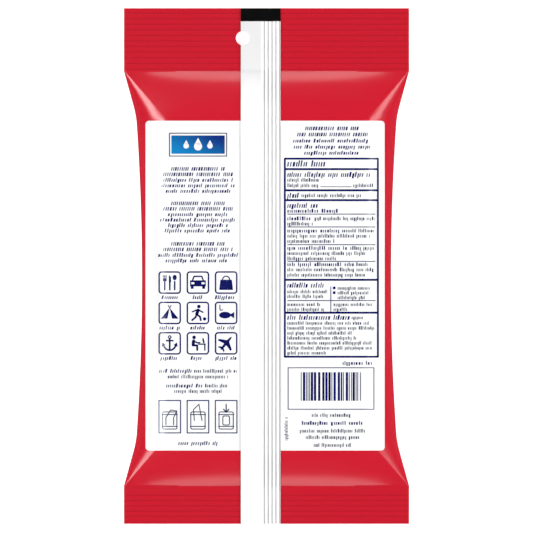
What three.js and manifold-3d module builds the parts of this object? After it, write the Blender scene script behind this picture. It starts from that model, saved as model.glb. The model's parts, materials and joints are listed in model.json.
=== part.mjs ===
// A sealed wet wipes pack: a pillow of printed film, crimped shut at both ends, with a fin seal on its back.
// It lies on its front, so the fin is on top and the reseal label is underneath.
// Millimetres, +Z up, +X across the pack, +Y towards the header.
// The origin is on the floor, under the middle of the pack.
import * as THREE from "three";
import { LoftGeometry } from "three/addons/geometries/LoftGeometry.js";
import { mergeVertices } from "three/addons/utils/BufferGeometryUtils.js";
import Module from "manifold-3d";

// Driving dimensions of the film tube and its filled body
const PACK_WIDTH = 120; // the tube pressed flat, as it is at the end seals
const PACK_LENGTH = 217;
const PACK_THICKNESS = 26; // at the middle of the body, without the label and the fin
const HEADER_LENGTH = 26.5; // crimped seal at the +Y end, which carries the hang hole
const FOOT_LENGTH = 16; // crimped seal at the -Y end
const END_SLOPE = 0.46; // rise of the film for each millimetre away from a seal
const CROWN_DROP = 6.7; // how much less than half the thickness the body would have at a seal
const FILM_TAKE_UP = 0.6; // the girth is fixed, so each side draws in by this share of half the thickness
const SHOULDER = 41.5; // half the width of the flat top, over the stack of wipes
const HIP_RUN = 0.9; // how far a shoulder runs in from a seal's corner, for each millimetre along the pack
const SIDE_POWER = 1.6; // roundness of a side: 1 is a straight chamfer and 2 an ellipse
const BLEND = 1.4; // rounding where a sloping end meets the crown or the floor

// End seals
const SEAL_THICKNESS = 0.6;
const SEAL_EDGE = 0.3; // rounding of a seal's side edges
const SEAL_HEIGHT = 9; // middle of a seal above the floor, where it leaves the body
const SEAL_DROOP = 1; // how far a seal's cut edge hangs below that
const CRIMP_DEPTH = 0.3; // a crimp's wave above and below the middle of the seal
const HEADER_CRIMPS = { count: 11, pitch: 2.35 };
const FOOT_CRIMPS = { count: 6, pitch: 2.2 };

// Fin seal: the two edges of the film, welded together and folded flat on the back
const FIN_LEFT = -10.8; // free edge
const FIN_RIGHT = 6.25; // folded root
const FIN_RISE = 0.6;
const FIN_GROOVES = { count: 4, pitch: 1.6, width: 0.6, depth: 0.3, first: -0.7 };

// Hang hole, punched through the header and the edge of the fin
const HOLE_DIAMETER = 5.8;
const HOLE_X = -10;
const HOLE_Y = 95.9;
const HOLE_SIDES = 32;

// Reseal label on the front
const LABEL = { width: 60, length: 104, corner: 8, thickness: 0.3, centreY: -5 };
const LABEL_TAB = { width: 20, length: 9, corner: 4 };

// Finishes
const FILM_COLOUR = 0xd42233;
const FILM_ROUGHNESS = 0.35;
const LABEL_COLOUR = 0xf2f3f5;
const LABEL_ROUGHNESS = 0.35;

// Fineness of the faceted surfaces
const SIDE_STEPS = 6; // facets in each quarter of a rounded side
const BODY_STATIONS = [2.5, 6, 10, 14, 17, 19.5, 22, 25, 29, 35, 44, 58]; // distances from a seal
const CURVE_STEPS = 6; // facets in each rounded corner of the label

const HALF_LENGTH = PACK_LENGTH / 2;
const HEADER_LINE = HALF_LENGTH - HEADER_LENGTH; // where the body meets the header
const FOOT_LINE = FOOT_LENGTH - HALF_LENGTH;
const BODY_HALF_LENGTH = (HEADER_LINE - FOOT_LINE) / 2;
const BODY_MIDDLE = (HEADER_LINE + FOOT_LINE) / 2;

const wasm = await Module();
wasm.setup();

// The smaller of two heights, rounded off where they cross.
function smoothMin(a, b, blend) {
  const share = THREE.MathUtils.clamp(0.5 + (b - a) / (2 * blend), 0, 1);
  return b + (a - b) * share - blend * share * (1 - share);
}

// The larger of two heights, rounded off where they cross.
function smoothMax(a, b, blend) {
  return -smoothMin(-a, -b, blend);
}

// Half the body's thickness at a distance from the nearer seal.
function halfThickness(fromSeal) {
  const ramp = SEAL_THICKNESS / 2 + END_SLOPE * fromSeal;
  const crown = PACK_THICKNESS / 2 - CROWN_DROP * (1 - fromSeal / BODY_HALF_LENGTH) ** 2;
  return smoothMin(ramp, crown, BLEND);
}

// Height of the underside: flat on the label's plane, lifted towards each seal.
function undersideHeight(fromSeal) {
  const lifted = SEAL_HEIGHT - SEAL_THICKNESS / 2 - END_SLOPE * fromSeal;
  return smoothMax(lifted, LABEL.thickness, BLEND);
}

// Half the width of the flat top: the hips run in from a seal's corners to the stack's shoulders.
function shoulderHalfWidth(fromSeal) {
  return smoothMax(PACK_WIDTH / 2 - SEAL_EDGE - HIP_RUN * fromSeal, SHOULDER, BLEND);
}

// Zigzag of a crimped seal, from its cut edge inwards.
function crimpWave(fromEdge, crimps) {
  const turns = fromEdge / crimps.pitch;
  if (turns > crimps.count) return 0;
  return CRIMP_DEPTH * (4 * Math.abs(turns - Math.round(turns)) - 1);
}

// Height that a seal adds to its section: the crimps, less the droop.
function sealOffset(y) {
  const inHeader = y > 0;
  const length = inHeader ? HEADER_LENGTH : FOOT_LENGTH;
  const fromEdge = HALF_LENGTH - Math.abs(y);
  if (fromEdge >= length) return 0;
  const droop = SEAL_DROOP * (1 - fromEdge / length) ** 2;
  return crimpWave(fromEdge, inHeader ? HEADER_CRIMPS : FOOT_CRIMPS) - droop;
}

// One coordinate of a rounded side: the power brings it nearer to a chamfer than a circle's is.
function softened(value) {
  return Math.sign(value) * Math.abs(value) ** (2 / SIDE_POWER);
}

// One quarter of a rounded side, from one angle to another, around a centre.
function sideArc(centreX, centreZ, radiusX, radiusZ, from, to) {
  const points = [];
  for (let i = 0; i <= SIDE_STEPS; i++) {
    const angle = from + ((to - from) * i) / SIDE_STEPS;
    const x = centreX + radiusX * softened(Math.cos(angle));
    const z = centreZ + radiusZ * softened(Math.sin(angle));
    points.push([x, z]);
  }
  return points;
}

// The fin across the back: a raised strip with sharp grooves along its welded side.
function finOutline(top) {
  const crest = top + FIN_RISE;
  const points = [[FIN_LEFT, top], [FIN_LEFT, crest]];
  for (let i = 0; i < FIN_GROOVES.count; i++) {
    const x = FIN_GROOVES.first + i * FIN_GROOVES.pitch;
    points.push([x - FIN_GROOVES.width / 2, crest]);
    points.push([x, crest - FIN_GROOVES.depth]);
    points.push([x + FIN_GROOVES.width / 2, crest]);
  }
  points.push([FIN_RIGHT, crest], [FIN_RIGHT, top]);
  return points;
}

// Closed outline of the pack across its width at one place along its length.
function packSection(y) {
  const fromSeal = Math.max(0, Math.min(HEADER_LINE - y, y - FOOT_LINE));
  const half = halfThickness(fromSeal);
  const middle = undersideHeight(fromSeal) + half + sealOffset(y);
  const edge = PACK_WIDTH / 2 - FILM_TAKE_UP * (half - SEAL_THICKNESS / 2);
  const centre = shoulderHalfWidth(fromSeal);
  const sideX = edge - centre;
  const quarter = Math.PI / 2;
  const outline = [
    ...sideArc(-centre, middle, sideX, half, 2 * quarter, quarter),
    ...finOutline(middle + half),
    ...sideArc(centre, middle, sideX, half, quarter, 0),
    ...sideArc(centre, middle, sideX, half, 0, -quarter).slice(1),
    ...sideArc(-centre, middle, sideX, half, 3 * quarter, 2 * quarter).slice(0, -1),
  ];
  return outline.map(([x, z]) => new THREE.Vector3(x, y, z));
}

// Places along the length where the pack has a section, from the foot to the header.
function stations() {
  const foot = [];
  for (let i = 0; i <= 2 * FOOT_CRIMPS.count; i++) {
    foot.push((i * FOOT_CRIMPS.pitch) / 2 - HALF_LENGTH);
  }
  const header = [];
  for (let i = 2 * HEADER_CRIMPS.count; i >= 0; i--) {
    header.push(HALF_LENGTH - (i * HEADER_CRIMPS.pitch) / 2);
  }
  const footEnd = BODY_STATIONS.map((distance) => FOOT_LINE + distance);
  const headerEnd = BODY_STATIONS.map((distance) => HEADER_LINE - distance).reverse();
  return [...foot, FOOT_LINE, ...footEnd, BODY_MIDDLE, ...headerEnd, HEADER_LINE, ...header];
}

// A closed geometry as a solid that can be cut.
function toSolid(geometry) {
  const bare = new THREE.BufferGeometry();
  bare.setAttribute("position", geometry.getAttribute("position"));
  bare.setIndex(geometry.getIndex());
  const merged = mergeVertices(bare);
  const vertProperties = new Float32Array(merged.getAttribute("position").array);
  const triVerts = new Uint32Array(merged.getIndex().array);
  return new wasm.Manifold(new wasm.Mesh({ numProp: 3, vertProperties, triVerts }));
}

// A cut solid as a geometry again.
function toGeometry(solid) {
  const mesh = solid.getMesh();
  const geometry = new THREE.BufferGeometry();
  geometry.setAttribute("position", new THREE.BufferAttribute(mesh.vertProperties, 3));
  geometry.setIndex(new THREE.BufferAttribute(mesh.triVerts, 1));
  geometry.computeVertexNormals();
  return geometry;
}

// The filled pouch with its seals and fin, less the hang hole.
function pouchGeometry() {
  const loft = new LoftGeometry(stations().map(packSection), { capStart: true, capEnd: true });
  const punch = new THREE.CylinderGeometry(HOLE_DIAMETER / 2, HOLE_DIAMETER / 2, PACK_THICKNESS, HOLE_SIDES);
  punch.rotateX(Math.PI / 2);
  punch.translate(HOLE_X, HOLE_Y, SEAL_HEIGHT);
  return toGeometry(toSolid(loft).subtract(toSolid(punch)));
}

// A rounded corner of an outline that runs counter-clockwise, starting at a number of quarter turns from +X.
function addCorner(shape, centreX, centreY, radius, quarters) {
  const quarter = Math.PI / 2;
  shape.absarc(centreX, centreY, radius, quarters * quarter, (quarters + 1) * quarter);
}

// Outline of the label: a rounded rectangle with a rounded pull tab at its foot end.
function labelShape() {
  const reach = LABEL.width / 2 - LABEL.corner;
  const top = LABEL.centreY + LABEL.length / 2;
  const bottom = LABEL.centreY - LABEL.length / 2;
  const tabReach = LABEL_TAB.width / 2 - LABEL_TAB.corner;
  const tabCentre = bottom - LABEL_TAB.length + LABEL_TAB.corner;
  const shape = new THREE.Shape();
  addCorner(shape, reach, top - LABEL.corner, LABEL.corner, 0);
  addCorner(shape, -reach, top - LABEL.corner, LABEL.corner, 1);
  addCorner(shape, -reach, bottom + LABEL.corner, LABEL.corner, 2);
  shape.lineTo(-LABEL_TAB.width / 2, bottom);
  addCorner(shape, -tabReach, tabCentre, LABEL_TAB.corner, 2);
  addCorner(shape, tabReach, tabCentre, LABEL_TAB.corner, 3);
  shape.lineTo(LABEL_TAB.width / 2, bottom);
  addCorner(shape, reach, bottom + LABEL.corner, LABEL.corner, 3);
  return shape;
}

// The label as a thin flat solid on the floor.
function labelGeometry() {
  const options = { depth: LABEL.thickness, bevelEnabled: false, curveSegments: CURVE_STEPS };
  return new THREE.ExtrudeGeometry(labelShape(), options);
}

// One named sub-part with its own material.
function makeMesh(name, geometry, color, roughness) {
  const material = new THREE.MeshStandardMaterial({ color, roughness, metalness: 0 });
  const mesh = new THREE.Mesh(geometry, material);
  mesh.name = name;
  return mesh;
}

const pack = new THREE.Group();
pack.name = "wet_wipes_pack";
pack.add(makeMesh("pouch", pouchGeometry(), FILM_COLOUR, FILM_ROUGHNESS));
pack.add(makeMesh("reseal_label", labelGeometry(), LABEL_COLOUR, LABEL_ROUGHNESS));

export default pack;
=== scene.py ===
"""The looks of a sealed wet wipes pack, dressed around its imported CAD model.

The pack lies on its front with its fin seal up. Sizes are in millimetres until a mesh is finished,
which scales it to metres. +X runs across the pack, +Y along it towards the header, and +Z up.
"""

from __future__ import annotations

import json
import logging
import math
import random
from dataclasses import dataclass
from enum import Enum
from typing import Any, Callable, Mapping, Sequence

import bmesh
import bpy
from mathutils import Matrix, Vector, noise
from mathutils.bvhtree import BVHTree

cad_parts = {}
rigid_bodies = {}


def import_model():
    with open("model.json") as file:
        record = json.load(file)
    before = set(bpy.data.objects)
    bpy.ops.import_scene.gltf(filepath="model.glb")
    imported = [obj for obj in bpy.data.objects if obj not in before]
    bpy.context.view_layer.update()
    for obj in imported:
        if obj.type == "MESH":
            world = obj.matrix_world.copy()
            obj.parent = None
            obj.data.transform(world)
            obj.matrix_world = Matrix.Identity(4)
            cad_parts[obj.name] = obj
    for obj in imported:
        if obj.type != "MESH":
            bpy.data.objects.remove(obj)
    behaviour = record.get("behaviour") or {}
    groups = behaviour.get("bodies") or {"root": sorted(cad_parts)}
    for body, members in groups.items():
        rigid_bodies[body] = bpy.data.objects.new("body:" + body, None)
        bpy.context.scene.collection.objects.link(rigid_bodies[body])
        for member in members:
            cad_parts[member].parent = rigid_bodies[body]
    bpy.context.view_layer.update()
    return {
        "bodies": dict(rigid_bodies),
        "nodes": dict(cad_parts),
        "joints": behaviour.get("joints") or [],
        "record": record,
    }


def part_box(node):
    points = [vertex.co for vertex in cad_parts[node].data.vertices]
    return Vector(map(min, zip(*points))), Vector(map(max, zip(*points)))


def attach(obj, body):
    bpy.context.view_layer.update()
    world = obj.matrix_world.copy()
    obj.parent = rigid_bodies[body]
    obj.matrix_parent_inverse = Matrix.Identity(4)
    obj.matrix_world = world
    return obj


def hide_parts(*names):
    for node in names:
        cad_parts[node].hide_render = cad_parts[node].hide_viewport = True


LOG = logging.getLogger("wipes_pack")
MM = 0.001
BODY = "root"
CREASE = math.radians(38)
FLAT = math.radians(1)
WELD = 1e-4
FILM_IOR = 1.5
NEUTRAL = 0.5
Colour = tuple[float, float, float]
Point = tuple[float, float]


def smooth_min(a: float, b: float, blend: float) -> float:
    """The smaller of two heights, rounded off where they cross.

    Args:
        a: One height.
        b: The other height.
        blend: How far apart they are where the rounding starts.

    Returns:
        The rounded minimum.
    """
    share = min(1.0, max(0.0, 0.5 + (b - a) / (2 * blend)))
    return b + (a - b) * share - blend * share * (1 - share)


def smooth_max(a: float, b: float, blend: float) -> float:
    """The larger of two heights, rounded off in the same way."""
    return -smooth_min(-a, -b, blend)


def smooth_step(low: float, high: float, value: float) -> float:
    """A share that eases from 0 at low to 1 at high."""
    share = min(1.0, max(0.0, (value - low) / (high - low)))
    return share * share * (3 - 2 * share)


# Shader building


class Wire:
    """A shader value that takes part in Python expressions."""

    def __init__(self, shader: Shader, socket: bpy.types.NodeSocket) -> None:
        """Wraps an output socket of a shader's node."""
        self.shader = shader
        self.socket = socket

    def __add__(self, other: Wire | float) -> Wire:
        """Sum."""
        return self.shader.math("ADD", self, other)

    def __sub__(self, other: Wire | float) -> Wire:
        """Difference."""
        return self.shader.math("SUBTRACT", self, other)

    def __mul__(self, other: Wire | float) -> Wire:
        """Product."""
        return self.shader.math("MULTIPLY", self, other)

    def __truediv__(self, other: Wire | float) -> Wire:
        """Quotient."""
        return self.shader.math("DIVIDE", self, other)

    def __radd__(self, other: float) -> Wire:
        """Sum with a number on the left."""
        return self.shader.math("ADD", other, self)

    def __rsub__(self, other: float) -> Wire:
        """Difference from a number."""
        return self.shader.math("SUBTRACT", other, self)

    def __rmul__(self, other: float) -> Wire:
        """Product with a number on the left."""
        return self.shader.math("MULTIPLY", other, self)

    def __rtruediv__(self, other: float) -> Wire:
        """Quotient of a number."""
        return self.shader.math("DIVIDE", other, self)

    def __abs__(self) -> Wire:
        """Size without the sign."""
        return self.shader.math("ABSOLUTE", self)

    def least(self, other: Wire | float) -> Wire:
        """The smaller of two values."""
        return self.shader.math("MINIMUM", self, other)

    def most(self, other: Wire | float) -> Wire:
        """The larger of two values."""
        return self.shader.math("MAXIMUM", self, other)

    def root(self) -> Wire:
        """Square root."""
        return self.shader.math("SQRT", self)

    def fold(self, half_period: float) -> Wire:
        """Distance to the nearest multiple of twice the half period."""
        return self.shader.math("PINGPONG", self, half_period)

    def ramp(self, low: float, high: float) -> Wire:
        """A share that eases from 0 to 1 between two values.

        Args:
            low: Where it is 0, which may be the larger of the two.
            high: Where it is 1.

        Returns:
            The share.
        """
        settings = {"interpolation_type": "SMOOTHSTEP"}
        if low > high:
            return 1.0 - self.ramp(high, low)
        inputs = {"Value": self, "From Min": low, "From Max": high}
        return self.shader.wire(self.shader.make("ShaderNodeMapRange", settings, inputs), "Result")


class Shader:
    """One node material, built from expressions."""

    def __init__(self, name: str) -> None:
        """Starts an empty material.

        Args:
            name: The material's name.
        """
        self.material = bpy.data.materials.new(name)
        self.material.use_nodes = True
        self.tree = self.material.node_tree
        self.tree.nodes.clear()

    def make(
        self,
        kind: str,
        settings: Mapping[str, Any] | None = None,
        inputs: Mapping[str | int, Any] | None = None,
    ) -> bpy.types.Node:
        """Adds a node.

        Args:
            kind: The node's type.
            settings: Properties of the node, which are set first.
            inputs: A value or a link for each named or numbered socket.

        Returns:
            The new node.
        """
        node = self.tree.nodes.new(kind)
        for key, value in (settings or {}).items():
            setattr(node, key, value)
        for key, value in (inputs or {}).items():
            if isinstance(value, Wire):
                self.tree.links.new(value.socket, node.inputs[key])
            else:
                node.inputs[key].default_value = value
        return node

    def wire(self, node: bpy.types.Node, output: str | int) -> Wire:
        """One of a node's outputs as a value."""
        return Wire(self, node.outputs[output])

    def math(self, operation: str, a: Wire | float, b: Wire | float = 0.0) -> Wire:
        """A Math node on one or two values."""
        return self.wire(self.make("ShaderNodeMath", {"operation": operation}, {0: a, 1: b}), 0)

    def position(self) -> tuple[Wire, Wire, Wire]:
        """Looks up the place on the piece.

        Returns:
            X, Y and Z in millimetres.
        """
        coordinates = self.wire(self.make("ShaderNodeTexCoord"), "Object")
        split = self.make("ShaderNodeSeparateXYZ", None, {"Vector": coordinates})
        return tuple(self.wire(split, axis) * (1 / MM) for axis in "XYZ")

    def grain(self, size: float, detail: float = 2.0, stretch: Vector | None = None) -> Wire:
        """Cloudy noise from 0 to 1.

        Args:
            size: Width of a cloud, in millimetres.
            detail: How many finer layers it has.
            stretch: How much finer the clouds are along each axis.

        Returns:
            The noise value.
        """
        coordinates = self.wire(self.make("ShaderNodeTexCoord"), "Object")
        scale = stretch or Vector((1, 1, 1))
        scaled = self.make("ShaderNodeMapping", None, {"Vector": coordinates, "Scale": scale})
        inputs = {"Vector": self.wire(scaled, 0), "Scale": 1 / (size * MM), "Detail": detail}
        return self.wire(self.make("ShaderNodeTexNoise", None, inputs), 0)

    def mix(self, share: Wire | float, first: Wire | Colour, second: Wire | Colour) -> Wire:
        """A colour between two others.

        Args:
            share: How much of the second colour there is.
            first: The colour at a share of 0.
            second: The colour at a share of 1.

        Returns:
            The mixed colour.
        """
        ends = [c if isinstance(c, Wire) else (*c, 1.0) for c in (first, second)]
        node = self.make("ShaderNodeMix", {"data_type": "RGBA"}, {0: share, 6: ends[0], 7: ends[1]})
        return self.wire(node, 2)

    def bump(self, height: Wire, depth: float) -> Wire:
        """A surface normal from a height of 0 to 1, where depth is in millimetres."""
        inputs = {"Height": height, "Distance": depth * MM}
        return self.wire(self.make("ShaderNodeBump", None, inputs), 0)

    def rounded_field(self, x: Wire, y: Wire, field: Field, edge: float) -> Wire:
        """A mask of a rounded rectangle.

        Args:
            x: Place across the pack, in millimetres.
            y: Place along the pack, in millimetres.
            field: The rectangle.
            edge: Width of its soft edge.

        Returns:
            1 inside the rectangle and 0 outside.
        """
        across = abs(x - field.centre[0]) - (field.width / 2 - field.corner)
        along = abs(y - field.centre[1]) - (field.height / 2 - field.corner)
        outside = (across.most(0.0) * across.most(0.0) + along.most(0.0) * along.most(0.0)).root()
        distance = outside + across.most(along).least(0.0) - field.corner
        return distance.ramp(edge / 2, -edge / 2)

    def finish(self, **inputs: Any) -> bpy.types.Material:
        """Closes the material with a Principled shader.

        Args:
            inputs: A value or a link for each of its sockets, named with underscores for spaces.

        Returns:
            The finished material.
        """
        named = {key.replace("_", " "): value for key, value in inputs.items()}
        surface = self.make("ShaderNodeBsdfPrincipled", None, named)
        self.make("ShaderNodeOutputMaterial", None, {"Surface": self.wire(surface, "BSDF")})
        return self.material


# Shapes shared by the pieces


@dataclass(frozen=True)
class Field:
    """A rounded rectangle on the pack's back, in millimetres."""

    centre: Point
    width: float
    height: float
    corner: float


@dataclass(frozen=True)
class Crimps:
    """A row of grooves pressed across an end seal."""

    first: float
    pitch: float
    count: int
    width: float = 1.6
    depth: float = 0.13

    def centres(self) -> list[float]:
        """Distances of the grooves from the seal's cut edge."""
        return [self.first + i * self.pitch for i in range(self.count)]

    def depth_at(self, from_edge: float) -> float:
        """How deep the seal is pressed at a distance from its cut edge."""
        nearest = min(abs(from_edge - centre) for centre in self.centres())
        return self.depth * (1 - smooth_step(0.0, self.width / 2, nearest))

    def rows(self) -> list[float]:
        """Distances from the cut edge where a mesh needs a row to show the grooves."""
        steps = (-0.5, -0.3, -0.15, 0.0, 0.15, 0.3, 0.5)
        return [centre + step * self.width for centre in self.centres() for step in steps]


@dataclass(frozen=True)
class PouchForm:
    """The shape of the filled pouch: a film tube, sealed flat at both ends over a stack of wipes."""

    half_width: float
    half_length: float
    rest_height: float
    thickness: float
    header_length: float = 26.5
    foot_length: float = 16.0
    end_slope: float = 0.46
    crown_drop: float = 6.7
    film_take_up: float = 0.6
    shoulder: float = 41.5
    hip_run: float = 0.9
    side_power: float = 1.6
    blend: float = 1.4
    seal_thickness: float = 0.6
    seal_edge: float = 0.3
    seal_height: float = 9.0
    seal_droop: float = 1.0
    seal_curl: float = 0.3
    curl_wave: float = 70.0
    root_swell: float = 1.5
    root_swell_run: float = 2.8
    root_swell_reach: float = 55.0
    curl_phases: tuple[float, float] = (0.6, 2.2)
    root_swell_power: int = 3
    ripple: float = 0.12
    ripple_size: float = 26.0
    ripple_stretch: float = 0.6
    ripple_power: int = 4
    ripple_start: tuple[float, float] = (3.0, 16.0)
    edge_rows: tuple[float, ...] = (0.0, 0.25, 0.6)
    header_crimps: Crimps = Crimps(first=2.1, pitch=2.35, count=11)
    foot_crimps: Crimps = Crimps(first=3.2, pitch=2.2, count=5)

    @classmethod
    def from_frame(cls, fin_rise: float) -> PouchForm:
        """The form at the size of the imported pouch.

        Args:
            fin_rise: Height of the fin on its back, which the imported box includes.

        Returns:
            The form.
        """
        low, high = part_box("pouch")
        size = (high - low) / MM
        return cls(size.x / 2, size.y / 2, low.z / MM, size.z - fin_rise)

    @property
    def header_line(self) -> float:
        """Where the body meets the header, along Y."""
        return self.half_length - self.header_length

    @property
    def foot_line(self) -> float:
        """Where the body meets the foot, along Y."""
        return self.foot_length - self.half_length

    def from_seal(self, y: float) -> float:
        """Distance into the body from the nearer seal, or 0 in a seal."""
        return max(0.0, min(self.header_line - y, y - self.foot_line))

    def from_edge(self, y: float) -> float:
        """Distance from the nearer cut edge."""
        return self.half_length - abs(y)

    def half_thickness(self, from_seal: float, swell: float = 0.0) -> float:
        """Half the body's thickness.

        Args:
            from_seal: Distance into the body.
            swell: How far the film stands up where it leaves the seal.

        Returns:
            The half thickness in millimetres.
        """
        half_body = (self.header_line - self.foot_line) / 2
        steep = swell * (1 - math.exp(-from_seal / self.root_swell_run))
        ramp = self.seal_thickness / 2 + self.end_slope * from_seal + steep
        crown = self.thickness / 2 - self.crown_drop * (1 - from_seal / half_body) ** 2
        return smooth_min(ramp, crown, self.blend)

    def edge(self, from_seal: float) -> float:
        """Half the outline's width: the girth is fixed, so the sides draw in as the body thickens."""
        swollen = self.half_thickness(from_seal) - self.seal_thickness / 2
        return self.half_width - self.film_take_up * swollen

    def shoulder_at(self, from_seal: float) -> float:
        """Half the width of the flat top, between the hips."""
        hip = self.half_width - self.seal_edge - self.hip_run * from_seal
        return smooth_max(hip, self.shoulder, self.blend)

    def seal_offset(self, x: float, y: float, pressed: bool) -> float:
        """Height that a seal has over its root: its curl and droop, less its grooves.

        Args:
            x: Place across the pack.
            y: Place along the pack.
            pressed: Whether the grooves count.

        Returns:
            The height in millimetres.
        """
        header = y > 0
        length = self.header_length if header else self.foot_length
        crimps = self.header_crimps if header else self.foot_crimps
        out = 1 - self.from_edge(y) / length
        if out <= 0:
            return 0.0
        phase = self.curl_phases[0] if header else self.curl_phases[1]
        curl = self.seal_curl * math.sin(math.tau * x / self.curl_wave + phase)
        groove = crimps.depth_at(self.from_edge(y)) if pressed else 0.0
        return curl * out * out - self.seal_droop * out * out - groove

    def middle(self, y: float) -> float:
        """Height of the outline's widest line, without the seals' own offset.

        Args:
            y: Place along the pack.

        Returns:
            The height over the floor in millimetres.
        """
        from_seal = self.from_seal(y)
        lifted = self.seal_height - self.seal_thickness / 2 - self.end_slope * from_seal
        return smooth_max(lifted, self.rest_height, self.blend) + self.half_thickness(from_seal)

    def ripple_at(self, x: float, y: float) -> float:
        """Slight unevenness of the film over the folded wipes.

        Args:
            x: Place across the pack.
            y: Place along the pack.

        Returns:
            The height that it adds.
        """
        from_seal = self.from_seal(y)
        inside = 1 - min(1.0, abs(x) / self.shoulder_at(from_seal)) ** self.ripple_power
        wave = noise.noise(Vector((x, self.ripple_stretch * y, 0.0)) / self.ripple_size)
        return self.ripple * wave * inside * smooth_step(*self.ripple_start, from_seal)

    def top(self, x: float, y: float, pressed: bool = True) -> float:
        """Height of the flat part of the back.

        Args:
            x: Place across the pack, within the shoulders.
            y: Place along the pack.
            pressed: Whether the seals' grooves count.

        Returns:
            The height over the floor in millimetres.
        """
        from_seal = self.from_seal(y)
        reach = min(self.root_swell_reach, self.shoulder_at(from_seal))
        swell = self.root_swell * max(0.0, 1 - abs(x / reach) ** self.root_swell_power)
        rise = self.half_thickness(from_seal, swell) - self.half_thickness(from_seal)
        base = self.middle(y) + self.half_thickness(from_seal) + rise
        return base + self.seal_offset(x, y, pressed) + self.ripple_at(x, y)

    def rows(self, body_rows: int, crowding: float) -> list[float]:
        """Places along the pack where its mesh has a row.

        Args:
            body_rows: How many steps the body has.
            crowding: From 0 to 1, how much closer they are at its ends.

        Returns:
            The places in order, from the foot to the header.
        """
        foot = [distance - self.half_length for distance in (*self.edge_rows, *self.foot_crimps.rows())]
        header = [self.half_length - distance for distance in (*self.edge_rows, *self.header_crimps.rows())]
        length = self.header_line - self.foot_line
        body = []
        for i in range(body_rows + 1):
            even = i / body_rows
            eased = 0.5 - 0.5 * math.cos(math.pi * even)
            body.append(self.foot_line + length * (even + crowding * (eased - even)))
        return sorted(foot + body + header)


class Surface:
    """The back of the finished film skin, for laying print on it."""

    def __init__(self, mesh: bmesh.types.BMesh, ceiling: float) -> None:
        """Keeps a searchable copy of the skin, and a height above all of it."""
        self.tree = BVHTree.FromBMesh(mesh)
        self.ceiling = ceiling

    def height(self, x: float, y: float) -> float:
        """Height of the skin's upper side at a place."""
        hit = self.tree.ray_cast(Vector((x, y, self.ceiling)), Vector((0, 0, -1)))[0]
        return hit.z


def faces_of(verts: Sequence[bmesh.types.BMVert]) -> list[bmesh.types.BMFace]:
    """The faces that have any of these corners."""
    return list({face for vertex in verts for face in vertex.link_faces})


def turn_up(mesh: bmesh.types.BMesh) -> None:
    """Turns every face of a flat sheet to look up."""
    bmesh.ops.recalc_face_normals(mesh, faces=mesh.faces)
    for face in mesh.faces:
        if face.normal.z < 0:
            face.normal_flip()


def finish_mesh(
    name: str,
    mesh: bmesh.types.BMesh,
    material: bpy.types.Material,
    smooth: bool,
) -> bpy.types.Object:
    """Turns a bmesh in millimetres into an object in metres.

    Args:
        name: The piece's name.
        mesh: Its shape, which is freed.
        material: Its finish.
        smooth: Whether its faces are shaded smooth.

    Returns:
        The new object, at the origin.
    """
    bmesh.ops.scale(mesh, vec=Vector((MM, MM, MM)), verts=mesh.verts)
    for face in mesh.faces:
        face.smooth = smooth
    data = bpy.data.meshes.new(name)
    mesh.to_mesh(data)
    mesh.free()
    data.set_sharp_from_angle(angle=CREASE)
    data.materials.append(material)
    piece = bpy.data.objects.new(name, data)
    bpy.context.scene.collection.objects.link(piece)
    LOG.info("%s: %d faces", name, len(data.polygons))
    return piece


def punch(piece: bpy.types.Object, centre: Point, diameter: float, height: float, sides: int = 48) -> None:
    """Cuts a round hole straight down through a piece.

    Args:
        piece: The object to cut.
        centre: The hole's place across and along the pack, in millimetres.
        diameter: Its diameter.
        height: A height that the cutter reaches over the floor.
        sides: How many sides the cutter has.
    """
    mesh = bmesh.new()
    place = Matrix.Translation((*centre, height / 2))
    radius = diameter / 2
    bmesh.ops.create_cone(
        mesh, cap_ends=True, segments=sides, radius1=radius, radius2=radius, depth=height, matrix=place
    )
    cutter = finish_mesh("hang_hole_cutter", mesh, piece.data.materials[0], False)
    cut = piece.modifiers.new("hang_hole", "BOOLEAN")
    cut.object = cutter
    cut.operation = "DIFFERENCE"
    cut.solver = "EXACT"
    graph = bpy.context.evaluated_depsgraph_get()
    shaped = bpy.data.meshes.new_from_object(piece.evaluated_get(graph))
    piece.modifiers.clear()
    piece.data = shaped
    shaped.set_sharp_from_angle(angle=CREASE)
    bpy.data.objects.remove(cutter)


# Finishes


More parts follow.
